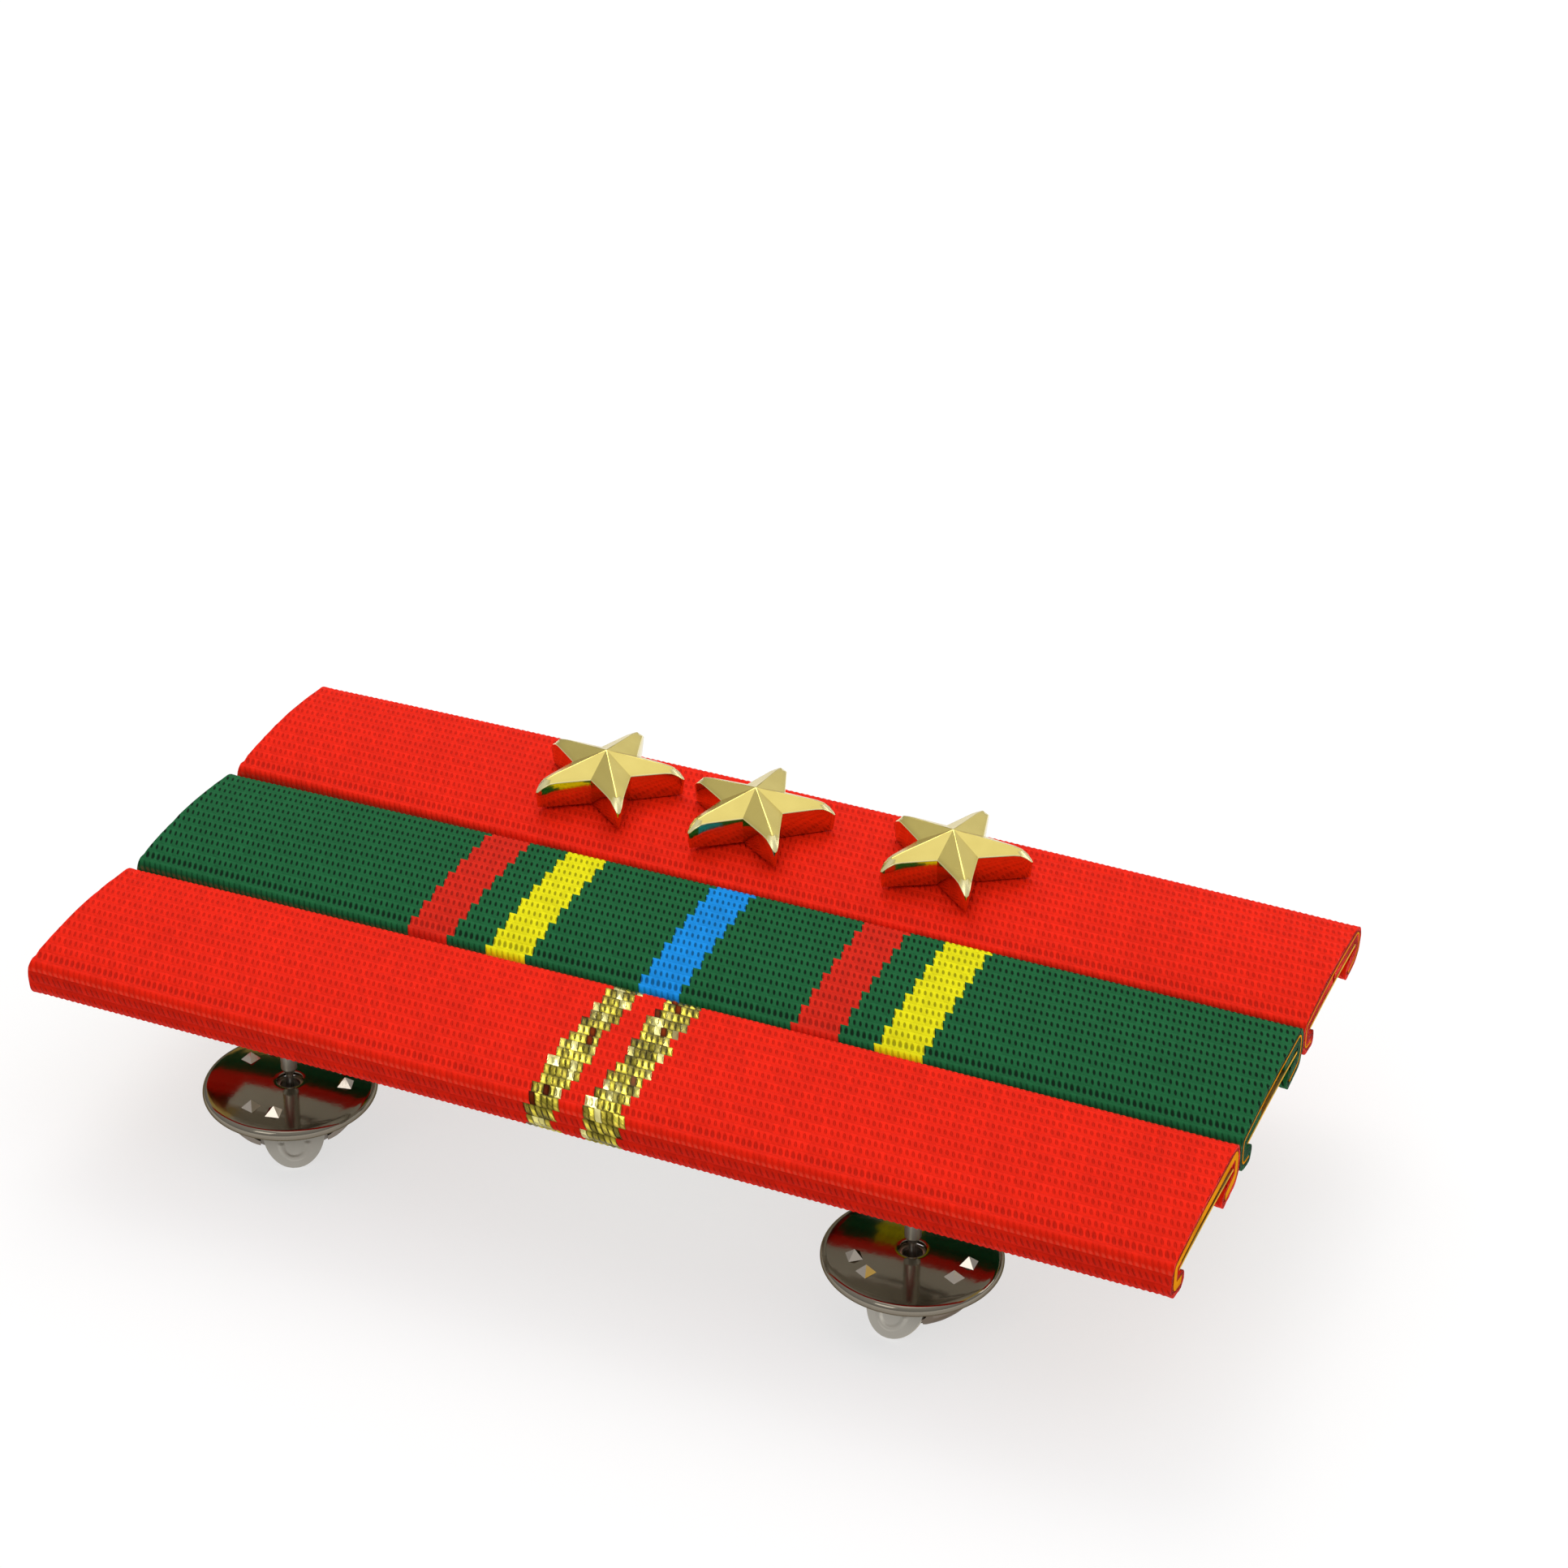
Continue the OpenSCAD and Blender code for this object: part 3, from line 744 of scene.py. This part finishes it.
def makeStarGold():
    look = starLook
    material, tree, shader = newMaterial("star_gold")
    blotch = cloud(tree, look["blotchScale"], 3)
    colour = blendColours(tree, blotch, *look["tones"])
    shader.inputs["Metallic"].default_value = 1
    split = tree.nodes.new("ShaderNodeSeparateXYZ")
    tree.links.new(tree.nodes.new("ShaderNodeTexCoord").outputs["Normal"], split.inputs[0])
    facingUp = split.outputs["Z"]
    # painted highlight: the tips, which face partly up, are made lighter
    onTip = times(tree, fadeIn(tree, facingUp, *look["tipHighlightFrom"]),
                  fadeIn(tree, facingUp, *look["tipHighlightTo"]))
    colour = blendColours(tree, onTip, colour, look["tipHighlight"])
    tree.links.new(colour, shader.inputs["Base Color"])
    onFace = fadeIn(tree, facingUp, *look["satinFrom"])
    rough = plus(tree, times(tree, blotch, look["blotchRough"]), look["roughness"])
    rough = plus(tree, rough, times(tree, onFace, look["satin"]))
    tree.links.new(rough, shader.inputs["Roughness"])
    addBump(tree, shader, cloud(tree, look["grainScale"], 2), look["bump"], look["bumpStrength"])
    return material


# Gives its material to a piece that is used as it is
def dress(node, material):
    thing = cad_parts[node]
    if not thing.material_slots:
        thing.data.materials.append(material)
    for slot in thing.material_slots:
        slot.material = material


# Stars: struck metal with flat facets, whose ridges bend down to blunt tips

starForm = {
    "reach": 6.1, "tipRound": 0.9,  # the outline's points before they are rounded, and how much is rounded
    "inner": 2.45, "top": 3.2, "facetCuts": 6,
    "along": 0.2083, "aside": 0.547,  # how steeply a facet falls along its arm and away from the ridge
    "noseStart": 4.15, "noseDrop": 0.27,
    "edgeRound": 0.05, "roundAngle": 25, "footInset": 0.14, "sharpAngle": 32,
}


def starHeight(x, y):
    arm = round(math.atan2(y, x) / math.radians(72)) * math.radians(72)
    along = x * math.cos(arm) + y * math.sin(arm)
    aside = abs(y * math.cos(arm) - x * math.sin(arm))
    nose = max(along - starForm["noseStart"], 0)
    ridge = starForm["top"] - starForm["along"] * along
    return ridge - starForm["aside"] * aside - starForm["noseDrop"] * nose ** 3


def buildStar(name, gold):
    corners = [v.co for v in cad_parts["star_" + name].data.vertices]
    apex = max(corners, key=lambda c: c.z)
    tip = max(corners, key=lambda c: (c.xy - apex.xy).length)
    turn = math.atan2(tip.y - apex.y, tip.x - apex.x)
    bm = bmesh.new()
    circle = bmesh.ops.create_circle(bm, segments=10, radius=1, cap_ends=True)["verts"]
    for i, vert in enumerate(circle):
        reach = starForm["reach"] if i % 2 == 0 else starForm["inner"]
        vert.co = (reach * math.cos(i * math.pi / 5), reach * math.sin(i * math.pi / 5), 0)
    points = [v for v in circle if v.co.length > (starForm["reach"] + starForm["inner"]) / 2]
    bmesh.ops.bevel(bm, geom=points, offset=starForm["tipRound"], offset_type="OFFSET", segments=4,
                    profile=0.5, affect="VERTICES", material=-1)
    lifted = bmesh.ops.extrude_face_region(bm, geom=list(bm.faces))["geom"]
    for vert in (g for g in lifted if isinstance(g, bmesh.types.BMVert)):
        vert.co.z = 1
    face = next(g for g in lifted if isinstance(g, bmesh.types.BMFace))
    rim = [e for e in face.edges if e.calc_length() > 1]
    middle = bmesh.ops.poke(bm, faces=[face])["verts"][0]
    bmesh.ops.subdivide_edges(bm, edges=list(middle.link_edges) + rim, cuts=starForm["facetCuts"],
                              use_grid_fill=True)
    for vert in bm.verts:
        if vert.co.z > 0.5:
            vert.co.z = starHeight(vert.co.x, vert.co.y)
    bmesh.ops.recalc_face_normals(bm, faces=bm.faces)
    bm.normal_update()
    for vert in bm.verts:
        if vert.co.z < 0.01:  # the walls lean in a little to the foot
            vert.co.xy -= vert.normal.xy.normalized() * starForm["footInset"]
    sharp = [e for e in bm.edges if len(e.link_faces) == 2 and min(v.co.z for v in e.verts) > 1
             and e.calc_face_angle_signed(0) > math.radians(starForm["roundAngle"])]
    bmesh.ops.bevel(bm, geom=sharp, offset=starForm["edgeRound"], offset_type="OFFSET", segments=2,
                    profile=0.5, affect="EDGES", clamp_overlap=False, material=-1)
    bmesh.ops.triangulate(bm, faces=[f for f in bm.faces if len(f.verts) > 4])
    foot = Matrix.Translation((apex.x, apex.y, min(c.z for c in corners)))
    place = foot @ Matrix.Rotation(turn, 4, "Z") @ Matrix.Scale(mm, 4)
    bmesh.ops.transform(bm, verts=bm.verts, matrix=place)
    bmesh.ops.recalc_face_normals(bm, faces=bm.faces)
    shadeByAngle(bm, starForm["sharpAngle"])
    piece = newPiece("star_piece_" + name, bm, [gold])
    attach(piece, "bar")
    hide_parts("star_" + name)


# Clutches: a dished disc with nibs, and a spring whose two ears come out of the hood

clutches = {  # place of the pin in mm, and turn of the ears in degrees
    "near_left": (-24.0, -14.6, -58), "near_right": (21.2, -14.6, -100),
    "far_left": (-24.0, 13.0, 50), "far_right": (21.2, 13.0, 76),
}
clutchFace = 5.1  # height of a disc's face over the floor, in mm
clutchSharpAngle = 35
discForm = {
    "radius": 5.9, "sheet": 0.3, "dish": 0.12, "dishReach": 5.2, "steps": 96,
    "hole": 0.88, "holeBack": [(0.05, 0), (0, -0.06)],     # off the hole, and off the sheet's back
    "holeFront": [(0, 0.08), (0.03, 0.02), (0.1, 0)],      # off the hole, and off the sheet's face
    "faceRings": [r / 10 for r in range(12, 54, 3)], "backRings": (3.6, 2.2),
    "rim": 0.9, "rimStart": -85, "rimSteps": 18,           # height of the rolled rim, and where it starts
    "lipWidth": 1.0, "lip": [(0.06, 0.9), (0, 0.84), (0, 0.65)], "lipGap": 0.05,
    "nibRing": 3.8, "nibWidth": 0.55, "nibPoint": 0.03, "nibHeight": 0.55, "nibSunk": 0.1,
    "nibTurn": 88, "nibSpread": 13,
}
springForm = {
    "line": [(0, 0.475), (0.9, 0.475), (1.375, 2.8), (2.975, 5.09)],  # off the pin, and under the disc's face
    "bend": 0.2, "sheet": 0.25, "width": 4.2, "tipDepth": 5.1, "jaw": 0.68, "footReach": 0.85,
    "arcPlace": 1.55, "arcRadius": 0.9, "arcWidth": 0.1, "arcRise": 0.06, "arcOver": 0.1,
    "stepsAlong": 150, "stepsAside": 32, "mergeUnder": 0.004,
}


# Puts a piece drawn with its depth along +Z, in mm, on its pin
def putOnPin(bm, clutch):
    x, y, turn = clutches[clutch]
    place = Matrix.Scale(mm, 4) @ Matrix.Translation((x, y, clutchFace))
    turned = Matrix.Rotation(math.radians(turn), 4, "Z") @ Matrix.Diagonal((1, 1, -1, 1))
    bmesh.ops.transform(bm, verts=bm.verts, matrix=place @ turned)
    bmesh.ops.recalc_face_normals(bm, faces=bm.faces)


def addClutchPiece(name, clutch, node, bm, materials):
    putOnPin(bm, clutch)
    shadeByAngle(bm, clutchSharpAngle)
    piece = newPiece(name + clutch, bm, materials)
    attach(piece, "clutch_" + clutch)
    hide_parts(node + clutch)


# Depth of the disc's face, which swells up a little towards the hole
def dishDepth(radius):
    return -discForm["dish"] * max(1 - (radius / discForm["dishReach"]) ** 2, 0)


# The outline of the disc's metal as (radius, depth): hole, face, rolled rim, lip and back
def discLine():
    form = discForm
    hole, sheet, half = form["hole"], form["sheet"], form["rim"] / 2
    line = [(hole + off, sheet + dishDepth(hole) + depth) for off, depth in form["holeBack"]]
    line += [(hole + off, dishDepth(hole) + depth) for off, depth in form["holeFront"]]
    line += [(radius, dishDepth(radius)) for radius in form["faceRings"]]
    line += list(arcPoints((form["radius"] - half, half), half, form["rimStart"], 90, form["rimSteps"]))
    line += [(form["radius"] - form["lipWidth"] + off, depth) for off, depth in form["lip"]]
    inside = form["radius"] - sheet - form["lipGap"]
    line += [(inside, form["lip"][-1][1]), (inside, sheet), (form["dishReach"], sheet)]
    line += [(radius, sheet + dishDepth(radius)) for radius in form["backRings"]]
    return line


def addNib(bm, angle):
    form = discForm
    ring, height, sunk = form["nibRing"], form["nibHeight"], form["nibSunk"]
    foot = Matrix.Rotation(angle, 4, "Z") @ Matrix.Translation((ring, 0, dishDepth(ring)))
    lift = Matrix.Translation((0, 0, sunk / 2 - height / 2))
    turn = Matrix.Rotation(math.pi, 4, "X") @ Matrix.Rotation(math.pi / 4, 4, "Z")
    nib = bmesh.ops.create_cone(bm, cap_ends=True, segments=4, radius1=form["nibWidth"] * math.sqrt(2),
                                radius2=form["nibPoint"], depth=height + sunk, matrix=foot @ lift @ turn)
    for face in {f for v in nib["verts"] for f in v.link_faces}:
        face.material_index = 1


def buildDisc(clutch, nickel, nibNickelPaintedHighlight):
    form = discForm
    line = discLine()
    bm = bmesh.new()
    ring = [bm.verts.new((r, 0, z)) for r, z in line]
    edges = [bm.edges.new((ring[i - 1], ring[i])) for i in range(len(ring))]
    bmesh.ops.spin(bm, geom=ring + edges, cent=(0, 0, 0), axis=(0, 0, 1), angle=2 * math.pi,
                   steps=form["steps"], use_merge=True)
    for pair in range(3):
        for side in (-1, 1):
            addNib(bm, math.radians(120 * pair + form["nibTurn"] + side * form["nibSpread"]))
    addClutchPiece("disc_piece_", clutch, "disc_", bm, [nickel, nibNickelPaintedHighlight])


# A place on the spring's middle line, a length from the pin
def springPlace(length):
    rest = abs(length)
    line = springForm["line"]
    for a, b in zip(line, line[1:]):
        run = math.dist(a, b)
        if rest <= run or b is line[-1]:
            share = min(rest / run, 1)
            off = a[0] + (b[0] - a[0]) * share
            return Vector((math.copysign(off, length), a[1] + (b[1] - a[1]) * share))
        rest -= run


# The same with its bends rounded
def bentPlace(length):
    bend = springForm["bend"]
    return (springPlace(length - bend) + 2 * springPlace(length) + springPlace(length + bend)) / 4


def buildSpring(clutch, nickel):
    form = springForm
    reach = measured(form["line"])[-1]
    half = form["width"] / 2
    bm = bmesh.new()
    bmesh.ops.create_grid(bm, x_segments=form["stepsAlong"], y_segments=form["stepsAside"], size=1)
    cut = []
    for vert in bm.verts:
        length, side = vert.co.x * reach, vert.co.y
        spot = bentPlace(length) if abs(length) < reach - form["bend"] else springPlace(length)
        roundFrom = form["tipDepth"] - half
        width = half if spot.y < roundFrom else math.sqrt(max(half ** 2 - (spot.y - roundFrom) ** 2, 0))
        y = side * width
        fromTip = reach - abs(length)
        offArc = abs(math.hypot(fromTip - form["arcPlace"], y) - form["arcRadius"])
        rise = form["arcRise"] * math.exp(-(offArc / form["arcWidth"]) ** 2)
        if fromTip >= form["arcPlace"] + form["arcOver"]:
            rise = 0
        x = spot.x + math.copysign(rise, length)
        if abs(length) < form["footReach"] and math.hypot(x, y) < form["jaw"]:
            cut.append(vert)
        vert.co = (x, y, spot.y)
    gone = set(cut)
    inHole = [f for f in bm.faces if all(v in gone for v in f.verts)]
    bmesh.ops.delete(bm, geom=inHole, context="FACES_KEEP_BOUNDARY")
    for vert in cut:
        if vert.is_valid and vert.link_faces:
            vert.co.xy = vert.co.xy.normalized() * form["jaw"]
    bmesh.ops.delete(bm, geom=[v for v in bm.verts if not v.link_faces], context="VERTS")
    bmesh.ops.remove_doubles(bm, verts=bm.verts, dist=form["mergeUnder"])
    bmesh.ops.recalc_face_normals(bm, faces=bm.faces)
    bmesh.ops.solidify(bm, geom=list(bm.faces), thickness=form["sheet"])
    addClutchPiece("spring_piece_", clutch, "spring_", bm, [nickel])


makeCamera()
makeLights()
makeRoom()
print("camera, light and floor are made")

slatBrass = makeBrass("slat_brass")
for row in rowNames:
    buildSlat(row, slatBrass)
    buildRibbon(row)
print("ribbons and slats are made")

linerBrass = makeBrass("liner_brass")
for row in rowNames:
    dress("liner_" + row, linerBrass)
dress("rack", makeNickel("rack_nickel"))
discNickelPaintedShade, hoodNickelPaintedShade = makeNickel("disc_nickel_painted_shade"), makeNickel("hood_nickel_painted_shade")
springNickel, nibNickelPaintedHighlight = makeNickel("spring_nickel"), makeNickel("nib_nickel_painted_highlight")
for clutch in clutches:
    dress("hood_" + clutch, hoodNickelPaintedShade)
    buildDisc(clutch, discNickelPaintedShade, nibNickelPaintedHighlight)
    buildSpring(clutch, springNickel)
print("rack and clutches are made")

gold = makeStarGold()
for star in starNames:
    buildStar(star, gold)
print("stars are made")

bpy.context.scene.view_settings.view_transform = "Standard"
